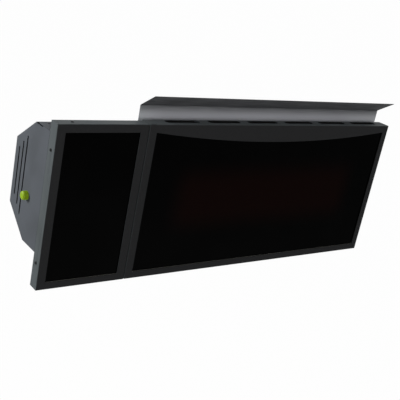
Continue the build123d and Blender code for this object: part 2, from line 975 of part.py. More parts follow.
def terminal_block():
    body = slab(
        terminal_start, terminal_start + terminal_length,
        terminal_front, terminal_front + terminal_depth,
        casing_floor, casing_floor + terminal_height,
    )
    step = terminal_length / terminal_ways
    for way in range(terminal_ways):
        x = terminal_start + step * (way + 0.5)
        for depth in (terminal_front + terminal_depth / 4, terminal_front + terminal_depth * 3 / 4):
            start = (x, depth, casing_floor + terminal_height + overcut)
            body -= rod(start, (0, 0, -1), terminal_screw_radius, terminal_screw_depth + overcut)
    return body


def cable_gland():
    down = (0, 0, -1)
    seat = (gland_position, gland_depth, casing_bottom)
    body = hexagon(seat, down, gland_hex_flats, gland_hex_length)
    cap_top = (gland_position, gland_depth, casing_bottom - gland_hex_length)
    cap = rod(cap_top, down, gland_body_radius, gland_cap_length)
    body += fillet(cap.edges().sort_by(Axis.Z)[0], gland_cap_round)
    tail = casing_sheet + gland_nut_length + gland_tail
    body += rod(seat, (0, 0, 1), gland_body_radius, tail)
    head = gland_hex_length + gland_cap_length
    low = (gland_position, gland_depth, casing_bottom - head - overcut)
    return body - rod(low, (0, 0, 1), gland_bore_radius, head + tail + 2 * overcut)


def gland_nut():
    body = hexagon((gland_position, gland_depth, casing_floor), (0, 0, 1), gland_nut_flats, gland_nut_length)
    start = (gland_position, gland_depth, casing_floor - overcut)
    return body - rod(start, (0, 0, 1), gland_body_radius, gland_nut_length + 2 * overcut)


def board_strap():
    # a strap across the control tray, behind the glass, that carries the receiver board
    front = tray_front + tray_sheet
    return slab(
        control.left + frame_sheet + tray_sheet, control.right - frame_sheet - tray_sheet,
        front, front + board_strap_sheet,
        board_bottom + board_height / 2 - board_strap_height / 2,
        board_bottom + board_height / 2 + board_strap_height / 2,
    )


def receiver_board():
    front = tray_front + tray_sheet + board_strap_sheet
    middle = (control.left + control.right) / 2
    body = slab(
        middle - board_length / 2, middle + board_length / 2,
        front, front + board_thickness, board_bottom, board_bottom + board_height,
    )
    for side in (-1, 1):
        left = middle + side * board_length / 4 - board_chip_length / 2
        low = board_bottom + board_chip_bottom
        body += slab(
            left, left + board_chip_length,
            front, front + board_thickness + board_chip_thickness, low, low + board_chip_height,
        )
    return body


def electrode(x, height):
    front = face_plate_front - electrode_front
    length = electrode_front + face_plate_sheet + electrode_back
    body = rod((x, front, height), (0, 1, 0), electrode_radius, length)
    body += rod((x, face_plate_back, height), (0, 1, 0), electrode_collar_radius, electrode_collar_length)
    tip = front - electrode_pin_reach
    path = FilletPolyline(
        (x, front + overcut, height), (x, tip, height), (x, tip, height + electrode_pin_rise),
        radius=electrode_pin_bend,
    )
    section = Plane(origin=path @ 0, z_dir=path % 0) * Circle(electrode_pin_radius)
    return body + sweep(section, path=path)


electrode_back_end = face_plate_back + electrode_back


def lead(x, height, side):
    # a high-tension lead from the ignition controller to one electrode
    drop = controller_start + controller_length / 2 + side * lead_spacing
    depth = lead_depth
    level = lead_height + side * lead_spacing / 2
    turn_depth = lead_turn_depth + side * lead_spacing / 2
    path = FilletPolyline(
        (drop, casing_inner_back - controller_depth / 2, controller_base_height),
        (drop, casing_inner_back - controller_depth / 2, controller_base_height - lead_drop),
        (drop + lead_lean, depth, level),
        (burner.left + lead_run_past_panel, depth, level),
        (field_left - lead_run_before_plenum, electrode_back_end + turn_depth, height),
        (x, electrode_back_end + turn_depth, height),
        (x, electrode_back_end, height),
        radius=lead_bend_radius,
    )
    section = Plane(origin=path @ 0, z_dir=path % 0) * Circle(lead_radius)
    return sweep(section, path=path)


def grommet():
    # a bush that lines both panels where the leads pass
    x0 = control.right - casing_sheet
    x1 = burner.left + casing_sheet
    left = (x0 - grommet_lip, lead_depth, lead_height)
    body = rod(left, (1, 0, 0), grommet_radius, x1 - x0 + 2 * grommet_lip)
    body += rod(left, (1, 0, 0), grommet_lip_radius, grommet_lip)
    body += rod((x1, lead_depth, lead_height), (1, 0, 0), grommet_lip_radius, grommet_lip)
    start = (x0 - 2 * grommet_lip, lead_depth, lead_height)
    return body - rod(start, (1, 0, 0), grommet_bore_radius, x1 - x0 + 4 * grommet_lip)


# What joins the two boxes


def joining_spacers():
    pieces = []
    for start, direction in joining_seats(control.right):
        body = rod(start, inward(direction), joining_spacer_radius, frame_gap)
        pieces.append(body - rod(start, inward(direction), joining_bolt_radius, frame_gap))
    return pieces


def joining_bolts():
    reach = frame_gap + 2 * casing_sheet
    pieces = []
    for start, direction in joining_seats(control.right - casing_sheet):
        body = rod(start, direction, joining_bolt_head_radius, joining_bolt_head_height)
        body += rod(start, inward(direction), joining_bolt_radius, reach + joining_bolt_head_height)
        end = tuple(place - reach * part for place, part in zip(start, direction))
        body += rod(end, inward(direction), joining_bolt_head_radius, joining_bolt_head_height)
        pieces.append(body)
    return pieces


# Tilting wall bracket: ears on the wall plate stand outside the hangers' ears, on one pivot axis


def ear_outline(back):
    # a tongue from the given depth to a round end about the pivot
    shape = Pos(pivot_depth, pivot_height) * Circle(ear_radius)
    middle = (pivot_depth + back) / 2
    return shape + Pos(middle, pivot_height) * Rectangle(abs(back - pivot_depth), 2 * ear_radius)


def pivot_hole(body, x):
    start = (x, pivot_depth, pivot_height)
    hole = pivot_radius + pivot_clearance
    return body - rod(start, (1, 0, 0), hole, 2 * wall_plate_sheet + 2 * overcut)


def wall_bracket():
    plate_front = wall_depth - wall_plate_sheet
    middle = Pos(centre_x, pivot_height)
    outline = middle * RectangleRounded(wall_plate_length, wall_plate_height, wall_plate_corner)
    holes = GridLocations(wall_hole_spacing_x, wall_hole_spacing_z, 2, 2)
    outline -= [middle * place * Circle(wall_hole_radius) for place in holes]
    body = along_y(outline, plate_front, wall_depth)
    for side in (-1, 1):
        inner = centre_x + side * ear_span / 2
        x0, x1 = sorted((inner, inner + side * wall_plate_sheet))
        ear = along_x(ear_outline(plate_front + overcut), x0, x1)
        body += pivot_hole(ear, x0 - overcut)
    return body


def hangers():
    pieces = []
    half = hanger_height / 2
    for side in (-1, 1):
        outer = centre_x + side * (ear_span / 2 - pivot_side_gap)
        x0, x1 = sorted((outer, outer - side * hanger_sheet))
        ear = pivot_hole(along_x(ear_outline(casing_depth), x0, x1), x0 - overcut)
        x0, x1 = sorted((outer, outer - side * hanger_flange))
        flange = slab(
            x0, x1, casing_depth, casing_depth + hanger_sheet, pivot_height - half, pivot_height + half,
        )
        flange = fillet(flange.edges().filter_by(Axis.Y), hanger_corner_radius)
        seats = [seat for seat in hanger_seats(burner) if (seat[0][0] - centre_x) * side > 0]
        flange = drill(flange, [((x, y + hanger_sheet, z), way) for (x, y, z), way in seats],
                       hanger_bolt_radius + screw_clearance, hanger_bolt_length)
        pieces.append(ear + flange)
    return pieces


def hanger_bolts():
    pieces = []
    for (x, y, z), direction in hanger_seats(burner):
        seat = (x, y + hanger_sheet, z)
        body = hexagon(seat, direction, hanger_nut_flats, hanger_head_height)
        pieces.append(body + rod(seat, inward(direction), hanger_bolt_radius, hanger_bolt_length))
    return pieces


def hanger_nuts():
    pieces = []
    for (x, y, z), direction in hanger_seats(burner):
        seat = (x, y - casing_sheet, z)
        body = hexagon(seat, inward(direction), hanger_nut_flats, hanger_nut_height)
        pieces.append(body - rod((x, y, z), inward(direction), hanger_bolt_radius, 2 * hanger_nut_height))
    return pieces


def pivot_hardware():
    # bolt with its head outside, then a washer, both ears, a washer and a nut
    bolts, washers, nuts = [], [], []
    for side in (-1, 1):
        ear_outside = centre_x + side * (ear_span / 2 + wall_plate_sheet)
        hanger_inside = centre_x + side * (ear_span / 2 - 2 * pivot_side_gap - hanger_sheet)
        out = (side, 0, 0)
        back = (-side, 0, 0)
        head_seat = (ear_outside + side * washer_thickness, pivot_depth, pivot_height)
        nut_seat = (hanger_inside - side * washer_thickness, pivot_depth, pivot_height)
        length = abs(head_seat[0] - nut_seat[0]) + pivot_nut_height + pivot_thread_end
        bolt = hexagon(head_seat, out, pivot_head_flats, pivot_head_height)
        bolts.append(bolt + rod(head_seat, back, pivot_radius, length))
        for x in (ear_outside, hanger_inside - side * washer_thickness):
            seat = (x, pivot_depth, pivot_height)
            washer = rod(seat, out, washer_radius, washer_thickness)
            washers.append(washer - rod(seat, out, pivot_radius, washer_thickness))
        nut = hexagon(nut_seat, back, pivot_head_flats, pivot_nut_height)
        nuts.append(nut - rod(nut_seat, back, pivot_radius, pivot_nut_height))
    return bolts, washers, nuts


for name, section in (("control", control), ("burner", burner)):
    save(f"{name}_frame", front_frame(section))
    save(f"{name}_glass", glass(section))
    save(f"{name}_glass_gaskets", gasket(section, frame_sheet), gasket(section, pane_back))
    save(f"{name}_tray", tray(section))
    save(f"{name}_casing", casing(section))

frame_seats = frame_screw_seats(control) + frame_screw_seats(burner)
save("frame_screws", *[screw(place, way, screw_length) for place, way in frame_seats])
rivet_seats = casing_rivet_seats(control) + casing_rivet_seats(burner)
save("casing_rivets", *[rivet(place, way) for place, way in rivet_seats])

save("control_left_panel", louvred_panel())
save("control_partition", through_holes(end_panel(control, 1)))
save("burner_left_panel", through_holes(end_panel(burner, -1)))
save("burner_right_panel", end_panel(burner, 1))

save("deflector", deflector())
save("deflector_screws", *[screw(place, way, screw_length) for place, way in deflector_seats()])

save("ceramic_tiles", *tiles())
save("tile_seal", tile_seal())
save("burner_plenum", plenum())
save("burner_face_plate", face_plate())
save("radiant_mesh", radiant_mesh(), *mesh_standoffs())
save("upper_reflector", reflector(1))
save("lower_reflector", reflector(-1))
save("reflector_ends", *reflector_ends())
save("plenum_struts", *plenum_struts())
save("rear_heat_shield", heat_shield())

save("gas_inlet_fitting", inlet_fitting())
save("gas_inlet_cap", inlet_cap())
save("inlet_pipe", pipe(fitting_end, valve_start))
save("feed_pipe", pipe(valve_end, feed_pipe_end))
save("union_nuts", union_nut(fitting_end), union_nut(valve_start - union_nut_length), union_nut(valve_end))
save("gas_valve_body", gas_valve())
save("valve_coils", *[coil(x) for x in coil_places])
save("valve_core_tubes", *[core_tube(x) for x in coil_places])
save("first_valve_plunger", plunger(coil_places[0]))
save("second_valve_plunger", plunger(coil_places[1]))
save("valve_bracket", valve_bracket())
save("injector", injector())
save("injector_holder", injector_holder())
save("mixing_tube", mixing_tube())

save("ignition_controller", controller())
save("terminal_block", terminal_block())
save("cable_gland", cable_gland(), gland_nut())
save("board_strap", board_strap())
save("receiver_board", receiver_board())
spark_place, flame_place = electrode_places()
save("ignition_electrode", electrode(*spark_place))
save("flame_electrode", electrode(*flame_place))
save("electrode_leads", lead(*spark_place, -1), lead(*flame_place, 1))
save("lead_grommet", grommet())

save("joining_spacers", *joining_spacers())
save("joining_bolts", *joining_bolts())

save("wall_bracket", wall_bracket())
pivot_bolts, pivot_washers, pivot_nuts = pivot_hardware()
save("pivot_bolts", *pivot_bolts)
save("pivot_washers", *pivot_washers)
save("pivot_nuts", *pivot_nuts)
save("hangers", *hangers())
save("hanger_bolts", *hanger_bolts(), *hanger_nuts())
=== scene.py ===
import json
import math
import bpy
from mathutils import Matrix, Vector


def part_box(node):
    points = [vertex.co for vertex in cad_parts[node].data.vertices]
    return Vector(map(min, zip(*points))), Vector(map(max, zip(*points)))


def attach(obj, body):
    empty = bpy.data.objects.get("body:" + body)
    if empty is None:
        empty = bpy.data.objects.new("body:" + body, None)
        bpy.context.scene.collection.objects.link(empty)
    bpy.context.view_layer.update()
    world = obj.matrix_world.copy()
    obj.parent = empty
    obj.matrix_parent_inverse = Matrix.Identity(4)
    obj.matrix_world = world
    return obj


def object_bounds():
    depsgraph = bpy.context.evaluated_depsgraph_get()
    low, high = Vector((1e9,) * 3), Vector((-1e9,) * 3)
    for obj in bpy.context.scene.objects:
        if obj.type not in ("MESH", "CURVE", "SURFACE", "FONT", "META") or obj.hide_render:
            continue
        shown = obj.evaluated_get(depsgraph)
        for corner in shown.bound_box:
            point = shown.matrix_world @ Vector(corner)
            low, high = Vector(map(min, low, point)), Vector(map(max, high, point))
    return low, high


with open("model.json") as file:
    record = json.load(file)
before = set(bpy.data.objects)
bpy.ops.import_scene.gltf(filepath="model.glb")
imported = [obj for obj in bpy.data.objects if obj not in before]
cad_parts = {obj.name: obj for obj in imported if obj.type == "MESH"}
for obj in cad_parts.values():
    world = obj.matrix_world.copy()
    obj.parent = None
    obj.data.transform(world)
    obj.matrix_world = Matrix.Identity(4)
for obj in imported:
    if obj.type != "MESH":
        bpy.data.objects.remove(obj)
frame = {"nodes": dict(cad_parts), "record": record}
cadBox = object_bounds()
print("frame loaded:", len(frame["nodes"]), "nodes")

mm = 0.001


# Colours and nodes

smooth = {"interpolation_type": "SMOOTHSTEP"}   # a Map Range that eases in and out
noiseRange = {**smooth, "From Min": 0.3, "From Max": 0.7}   # one that takes in most values of a noise
inColour = {"data_type": "RGBA"}                # a Mix node that blends two colours
colourA, colourB, mixed = 6, 7, 2               # its two colour inputs, and its colour output


def linear(hexColour):
    # sRGB hex to the linear values that a shader socket takes
    channels = [int(hexColour[i:i + 2], 16) / 255 for i in (1, 3, 5)]
    return [c / 12.92 if c <= 0.04045 else ((c + 0.055) / 1.055) ** 2.4 for c in channels] + [1.0]


def addNode(owner, kind, settings=None, links=None, out=0):
    # Adds one node. Settings are its fields and sockets, where a text on a socket is a hex colour, links
    # are what feeds its sockets, and out is the output that comes back.
    node = owner.node_tree.nodes.new("ShaderNode" + kind)
    for name, value in (settings or {}).items():
        if isinstance(name, str) and hasattr(node, name):
            setattr(node, name, value)
        elif isinstance(value, str):
            node.inputs[name].default_value = linear(value)
        else:
            node.inputs[name].default_value = value
    for name, source in (links or {}).items():
        owner.node_tree.links.new(source, node.inputs[name])
    return node.outputs[out] if node.outputs else None


def emptyMaterial(name):
    mat = bpy.data.materials.new(name)
    mat.use_nodes = True
    mat.node_tree.nodes.clear()
    return mat


# Camera, floor, world and lamps

cameraSettings = {
    "place": (-1213.1, -1595.8, 581.9),   # millimetres from the frame's origin
    "right": (0.79555, -0.57555, 0.18935),
    "up": (0.05337, 0.37786, 0.92432),
    "lens": 70.37,
    "sensorWidth": 36.0,
}


def makeCamera():
    bpy.context.scene.view_settings.view_transform = "Standard"
    camera = bpy.data.objects.new("photoCamera", bpy.data.cameras.new("photoCamera"))
    bpy.context.scene.collection.objects.link(camera)
    right = Vector(cameraSettings["right"]).normalized()
    up = Vector(cameraSettings["up"])
    up = (up - right * up.dot(right)).normalized()
    back = right.cross(up)
    turn = Matrix((right, up, back)).transposed().to_4x4()
    camera.matrix_world = Matrix.Translation(Vector(cameraSettings["place"]) * mm) @ turn
    camera.data.lens = cameraSettings["lens"]
    camera.data.sensor_width = cameraSettings["sensorWidth"]
    camera.data.dof.use_dof = False
    bpy.context.scene.camera = camera


floorSettings = {
    "drop": 900.0,            # how far the floor lies under the heater, in millimetres
    "size": 90000.0,
    "paint": "#e9e9e6",
    "paintWorn": "#efefec",
    "mottle": 40.0,           # size of the paint's blotches, in millimetres
    "paleShare": 0.985,       # how much of what the camera sees is the plain pale tone
}


def paintFloor():
    # Matt painted board, which the camera sees as an even pale tone
    mat = emptyMaterial("pale painted floor")
    place = addNode(mat, "TexCoord", out="Object")
    cloud = addNode(mat, "TexNoise", {"Scale": 1 / (floorSettings["mottle"] * mm), "Detail": 3.0},
                    {"Vector": place})
    share = addNode(mat, "MapRange", noiseRange, {"Value": cloud})
    colour = addNode(mat, "Mix", {**inColour, colourA: floorSettings["paint"],
                                  colourB: floorSettings["paintWorn"]}, {0: share}, mixed)
    paint = addNode(mat, "BsdfDiffuse", links={"Color": colour})
    pale = addNode(mat, "Emission", {"Color": "#ffffff", "Strength": 1.0})
    seen = addNode(mat, "LightPath", out="Is Camera Ray")
    paleShare = addNode(mat, "Math", {"operation": "MULTIPLY", 1: floorSettings["paleShare"]}, {0: seen})
    surface = addNode(mat, "MixShader", links={0: paleShare, 1: paint, 2: pale})
    addNode(mat, "OutputMaterial", links={"Surface": surface})
    return mat


def makeFloor():
    half = floorSettings["size"] * mm / 2
    height = cadBox[0].z - floorSettings["drop"] * mm
    mesh = bpy.data.meshes.new("floor")
    corners = [(-half, -half, height), (half, -half, height), (half, half, height), (-half, half, height)]
    mesh.from_pydata(corners, [], [(0, 1, 2, 3)])
    mesh.materials.append(paintFloor())
    floor = bpy.data.objects.new("floor", mesh)
    bpy.context.scene.collection.objects.link(floor)


worldSettings = {"ambient": 0.14, "ambientTint": "#f4f7fb", "backdrop": "#ffffff"}


def makeWorld():
    # a dim pale room, with a white backdrop for the camera, for reflections and for what glass lets through
    world = bpy.data.worlds.new("studio")
    bpy.context.scene.world = world
    world.use_nodes = True
    world.node_tree.nodes.clear()
    showsBackdrop = addNode(world, "LightPath", out="Is Camera Ray")
    for ray in ("Is Glossy Ray", "Is Transmission Ray"):
        found = addNode(world, "LightPath", out=ray)
        showsBackdrop = addNode(world, "Math", {"operation": "MAXIMUM"}, {0: showsBackdrop, 1: found})
    soft = addNode(world, "Background", {"Color": worldSettings["ambientTint"],
                                         "Strength": worldSettings["ambient"]})
    white = addNode(world, "Background", {"Color": worldSettings["backdrop"], "Strength": 1.0})
    surface = addNode(world, "MixShader", links={0: showsBackdrop, 1: soft, 2: white})
    addNode(world, "OutputWorld", links={"Surface": surface})


# each lamp: place and target in millimetres, size in millimetres, power in watts
lampSettings = {
    "leftSoftbox": {"place": (-2100, 950, 560), "target": (-450, -150, 0), "size": 600, "power": 34},
    "topSoftbox": {"place": (-200, -500, 2300), "target": (0, -150, 0), "size": 1800, "power": 4},
    "frontFill": {"place": (-700, -3000, 500), "target": (0, -200, 0), "size": 1800, "power": 19},
}


def makeLamps():
    for name, lamp in lampSettings.items():
        data = bpy.data.lights.new(name, "AREA")
        data.size = lamp["size"] * mm
        data.energy = lamp["power"]
        light = bpy.data.objects.new(name, data)
        bpy.context.scene.collection.objects.link(light)
        place = Vector(lamp["place"]) * mm
        aim = Vector(lamp["target"]) * mm - place
        light.location = place
        light.rotation_mode = "QUATERNION"
        light.rotation_quaternion = aim.to_track_quat("-Z", "Y")


# Materials: every size in their dictionaries is in millimetres, and a range is a Map Range's own sockets

coatLook = {
    "panel": "#5d6167",       # the anthracite coat of casing, panels and bracket
    "flange": "#5d6365",      # the frames' sides
    "front": "#2b2b2c",       # painted shade: the frames' glass side, darker than their sides
    "frontRange": {"From Min": -0.9, "From Max": -0.6},   # of the normal's Y, from the glass side to the sides
    "mottle": 70.0,
    "mottleRange": {"From Min": 0.35, "From Max": 0.65},
    "mottleDark": 0.93,       # the darker of the two mottled tones, as a share of each channel
    "fleck": 1.2,
    "fleckTone": "#7b8086",
    "fleckRange": {"From Min": 0.62, "From Max": 0.75, "To Max": 0.12},
    "peel": 2.6,              # orange peel; real peel is 1.5 across and would not show
    "peelDepth": 0.05,
    "shine": 0.14,
    "roughness": {"To Min": 0.52, "To Max": 0.62},
    # painted shade for faces inside the box
    "paintedInsideShade": "#141414",
    "boxCentre": (-100.0, -240.0, 0.0),   # a point inside the heater that every outer face turns from
    "insideShadeFade": 4.0,
}


def powderCoatedSteel(name, colour, frontColour=None, hasPaintedInsideShade=True):
    # Polyester powder baked on folded steel: a matt, faintly mottled skin with orange peel. Faces inside
    # the box get a painted shade, so the slots look dark.
    mat = emptyMaterial(name)
    place = addNode(mat, "TexCoord", out="Object")
    normal = addNode(mat, "TexCoord", out="Normal")
    channels = [int(int(colour[i:i + 2], 16) * coatLook["mottleDark"]) for i in (1, 3, 5)]
    darker = "#" + "".join(f"{channel:02x}" for channel in channels)
    cloud = addNode(mat, "TexNoise", {"Scale": 1 / (coatLook["mottle"] * mm), "Detail": 2.0},
                    {"Vector": place})
    share = addNode(mat, "MapRange", {**smooth, **coatLook["mottleRange"]}, {"Value": cloud})
    body = addNode(mat, "Mix", {**inColour, colourA: darker, colourB: colour}, {0: share}, mixed)
    # painted shade: faces turned to the front take the darker tone, chosen by their normal
    if frontColour:
        facing = addNode(mat, "SeparateXYZ", links={0: normal}, out="Y")
        share = addNode(mat, "MapRange", {**smooth, **coatLook["frontRange"]}, {"Value": facing})
        body = addNode(mat, "Mix", {**inColour, colourA: frontColour}, {0: share, colourB: body}, mixed)
    fleck = addNode(mat, "TexNoise", {"Scale": 1 / (coatLook["fleck"] * mm), "Detail": 1.0},
                    {"Vector": place})
    share = addNode(mat, "MapRange", {**smooth, **coatLook["fleckRange"]}, {"Value": fleck})
    body = addNode(mat, "Mix", {**inColour, colourB: coatLook["fleckTone"]},
                   {0: share, colourA: body}, mixed)
    if hasPaintedInsideShade:
        # a face that turns towards the middle of the box is an inside face, and gets the painted shade
        centre = [part * mm for part in coatLook["boxCentre"]]
        offset = addNode(mat, "VectorMath", {"operation": "SUBTRACT", 1: centre}, {0: place})
        turn = addNode(mat, "VectorMath", {"operation": "DOT_PRODUCT"}, {0: offset, 1: normal}, "Value")
        insideShade = addNode(mat, "MapRange", {**smooth, "From Min": -coatLook["insideShadeFade"] * mm,
                                           "From Max": 0.0, "To Min": 1.0, "To Max": 0.0},
                         {"Value": turn})
        body = addNode(mat, "Mix", {**inColour, colourB: coatLook["paintedInsideShade"]},
                       {0: insideShade, colourA: body}, mixed)
    roughness = addNode(mat, "MapRange", {**noiseRange, **coatLook["roughness"]}, {"Value": cloud})
    peel = addNode(mat, "TexNoise", {"Scale": 1 / (coatLook["peel"] * mm), "Detail": 2.0},
                   {"Vector": place})
    dents = addNode(mat, "Bump", {"Distance": coatLook["peelDepth"] * mm}, {"Height": peel})
    shader = addNode(mat, "BsdfPrincipled", {"Specular IOR Level": coatLook["shine"], "Metallic": 0.0},
                     {"Base Color": body, "Roughness": roughness, "Normal": dents})
    addNode(mat, "OutputMaterial", links={"Surface": shader})
    return mat


glassLook = {
    "tone": "#060606",
    "smearTone": "#080808",
    "smear": 120.0,
    "smearRange": {"From Min": 0.35, "From Max": 0.7},
    "warmth": "#170a08",      # the burner's brown, seen through the tint
    "warmthEdge": 40.0,       # how softly it ends
    "roughness": {"To Min": 0.05, "To Max": 0.09},
    "wave": 60.0,             # the rolled sheet's slow waves
    "waveDepth": 0.01,
    "shine": 0.03,
    "bend": 1.54,             # index of refraction of glass-ceramic
}


def tintedGlassCeramic(name):
    # Black-tinted glass-ceramic, rolled and fire-polished: near black, mirror smooth, with the burner
    # behind it only just showing as a brown warmth.
    mat = emptyMaterial(name)
    place = addNode(mat, "TexCoord", out="Object")
    smear = addNode(mat, "TexNoise", {"Scale": 1 / (glassLook["smear"] * mm), "Detail": 2.0},
                    {"Vector": place})
    share = addNode(mat, "MapRange", {**smooth, **glassLook["smearRange"]}, {"Value": smear})
    colour = addNode(mat, "Mix", {**inColour, colourA: glassLook["tone"], colourB: glassLook["smearTone"]},
                     {0: share}, mixed)
    low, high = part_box("ceramic_tiles")
    edge = glassLook["warmthEdge"] * mm
    warm = None
    for axis, outer, inner in (
        ("X", low.x - edge, low.x + edge),
        ("X", high.x + edge, high.x - edge),
        ("Z", low.z - edge, low.z + edge),
        ("Z", high.z + edge, high.z - edge),
    ):
        along = addNode(mat, "SeparateXYZ", links={0: place}, out=axis)
        fade = addNode(mat, "MapRange", {**smooth, "From Min": outer, "From Max": inner}, {"Value": along})
        warm = addNode(mat, "Math", {"operation": "MULTIPLY"}, {0: warm, 1: fade}) if warm else fade
    colour = addNode(mat, "Mix", {**inColour, colourB: glassLook["warmth"]},
                     {0: warm, colourA: colour}, mixed)
    roughness = addNode(mat, "MapRange", {**noiseRange, **glassLook["roughness"]}, {"Value": smear})
    wave = addNode(mat, "TexNoise", {"Scale": 1 / (glassLook["wave"] * mm), "Detail": 1.0},
                   {"Vector": place})
    ripples = addNode(mat, "Bump", {"Distance": glassLook["waveDepth"] * mm}, {"Height": wave})
    shader = addNode(mat, "BsdfPrincipled", {"Specular IOR Level": glassLook["shine"], "Metallic": 0.0,
                                             "IOR": glassLook["bend"]},
                     {"Base Color": colour, "Roughness": roughness, "Normal": ripples})
    addNode(mat, "OutputMaterial", links={"Surface": shader})
    return mat


sheetLook = {
    "grain": 1.5,             # rolling grain; real grain is 0.1 wide and would not show
    "grainRun": 0.02,         # the grain runs fifty times as long as it is wide
    "grainTone": "#c8c9ca",
    "grainShare": 0.35,
    "grainDepth": 0.02,
    "cloud": 90.0,
    "rougher": 0.1,           # how much rougher its dull patches are
}

# the deflector's heat tint, and the painted shade under and on its lip
heatAndShadeLook = {
    "warmed": "#f2f2f7",      # the deflector's middle, in the path of the hot gas
    "paintedPlateShade": "#dadae1",    # painted shade: the upright plate darkens towards the lip
    "bend": "#45464a",        # painted shade under the lip, on the bend and on the lip itself
    "endLength": 110.0,       # how far clean metal reaches in from each end
    "wander": 60.0,           # how far that border wanders
    "rightShare": 0.35,       # how warmed the very right end is, between none and all
    "plateShadeStart": 350.0,     # heights above the frames' lower edge
    "lipShadeStart": 371.0,
    "lipShadeEnd": 402.0,
}


def deflectorHeatTintAndShade(mat, place, cloud, clean):
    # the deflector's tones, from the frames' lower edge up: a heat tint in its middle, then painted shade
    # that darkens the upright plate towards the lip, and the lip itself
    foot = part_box("burner_frame")[0].z
    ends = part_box("deflector")
    reach = heatAndShadeLook["endLength"] * mm
    wander = heatAndShadeLook["wander"] * mm
    along = addNode(mat, "SeparateXYZ", links={0: place}, out="X")
    height = addNode(mat, "SeparateXYZ", links={0: place}, out="Z")
    border = addNode(mat, "Math", {"operation": "MULTIPLY_ADD", 1: wander}, {0: cloud, 2: along})
    fromLeft = addNode(mat, "MapRange", {**smooth, "From Min": ends[0].x, "From Max": ends[0].x + reach},
                       {"Value": border})
    fromRight = addNode(mat, "MapRange", {**smooth, "From Min": ends[1].x,
                                          "From Max": ends[1].x + wander - 2 * reach,
                                          "To Min": heatAndShadeLook["rightShare"]}, {"Value": border})
    middle = addNode(mat, "Math", {"operation": "MULTIPLY"}, {0: fromLeft, 1: fromRight})
    colour = addNode(mat, "Mix", {**inColour, colourA: clean, colourB: heatAndShadeLook["warmed"]},
                     {0: middle}, mixed)
    # painted shade: the plate darkens towards the lip, in the tinted middle only
    plateShade = addNode(mat, "MapRange", {**smooth, "From Min": foot + heatAndShadeLook["plateShadeStart"] * mm,
                                       "From Max": foot + heatAndShadeLook["lipShadeStart"] * mm}, {"Value": height})
    plateShade = addNode(mat, "Math", {"operation": "MULTIPLY"}, {0: plateShade, 1: middle})
    colour = addNode(mat, "Mix", {**inColour, colourB: heatAndShadeLook["paintedPlateShade"]},
                     {0: plateShade, colourA: colour}, mixed)
    # painted shade: the lip and the bend under it turn dark
    bend = addNode(mat, "MapRange", {**smooth, "From Min": foot + heatAndShadeLook["lipShadeStart"] * mm,
                                     "From Max": foot + heatAndShadeLook["lipShadeEnd"] * mm}, {"Value": height})
    return addNode(mat, "Mix", {**inColour, colourB: heatAndShadeLook["bend"]}, {0: bend, colourA: colour}, mixed)


def rolledSheet(name, clean, metallic, rough, hasHeatTintAndShade=False):
    # Bare sheet with a satin grain rolled along its length: soft streaked highlights. The heated one has a
    # heat tint in its middle, and painted shade up its plate and on its lip.
    mat = emptyMaterial(name)
    place = addNode(mat, "TexCoord", out="Object")
    alongGrain = addNode(mat, "Mapping", {"Scale": (sheetLook["grainRun"], 1.0, 1.0)}, {"Vector": place})
    grain = addNode(mat, "TexNoise", {"Scale": 1 / (sheetLook["grain"] * mm), "Detail": 4.0},
                    {"Vector": alongGrain})
    cloud = addNode(mat, "TexNoise", {"Scale": 1 / (sheetLook["cloud"] * mm), "Detail": 2.0},
                    {"Vector": place})
    streak = addNode(mat, "MapRange", {**noiseRange, "To Max": sheetLook["grainShare"]},
                     {"Value": grain})
    settings = {**inColour, colourA: clean, colourB: sheetLook["grainTone"]}
    links = {0: streak}
    if hasHeatTintAndShade:
        links[colourA] = deflectorHeatTintAndShade(mat, place, cloud, clean)
    colour = addNode(mat, "Mix", settings, links, mixed)
    roughness = addNode(mat, "MapRange", {**noiseRange, "To Min": rough,
                                          "To Max": rough + sheetLook["rougher"]}, {"Value": cloud})
    scores = addNode(mat, "Bump", {"Distance": sheetLook["grainDepth"] * mm}, {"Height": grain})
    shader = addNode(mat, "BsdfPrincipled", {"Metallic": metallic},
                     {"Base Color": colour, "Roughness": roughness, "Normal": scores})
    addNode(mat, "OutputMaterial", links={"Surface": shader})
    return mat


zincLook = {
    "dark": "#9a9d9f",
    "light": "#b2b4b5",
    "spangle": 7.0,
    "spangleRange": {"From Min": 0.1, "From Max": 0.8},
    "bloom": 12.0,
    "roughness": {"To Min": 0.3, "To Max": 0.45},
}


def zincPlatedSteel(name):
    # Passivated zinc on steel: pale grey metal with faint spangle and a satin shine.
    mat = emptyMaterial(name)
    place = addNode(mat, "TexCoord", out="Object")
    spangle = addNode(mat, "TexVoronoi", {"Scale": 1 / (zincLook["spangle"] * mm)}, {"Vector": place},
                      "Distance")
    share = addNode(mat, "MapRange", {**smooth, **zincLook["spangleRange"]}, {"Value": spangle})
    colour = addNode(mat, "Mix", {**inColour, colourA: zincLook["dark"], colourB: zincLook["light"]},
                     {0: share}, mixed)
    bloom = addNode(mat, "TexNoise", {"Scale": 1 / (zincLook["bloom"] * mm), "Detail": 3.0},
                    {"Vector": place})
    roughness = addNode(mat, "MapRange", {**noiseRange, **zincLook["roughness"]}, {"Value": bloom})
    shader = addNode(mat, "BsdfPrincipled", {"Metallic": 1.0},
                     {"Base Color": colour, "Roughness": roughness})
    addNode(mat, "OutputMaterial", links={"Surface": shader})
    return mat


fastenerLook = {
    "dark": "#1d1e1f",
    "worn": "#3a3b3c",
    "wear": 2.0,
    "wearRange": {"From Min": 0.5, "From Max": 0.75},
    "metal": 0.6,
    "roughness": {"To Min": 0.35, "To Max": 0.55},
}


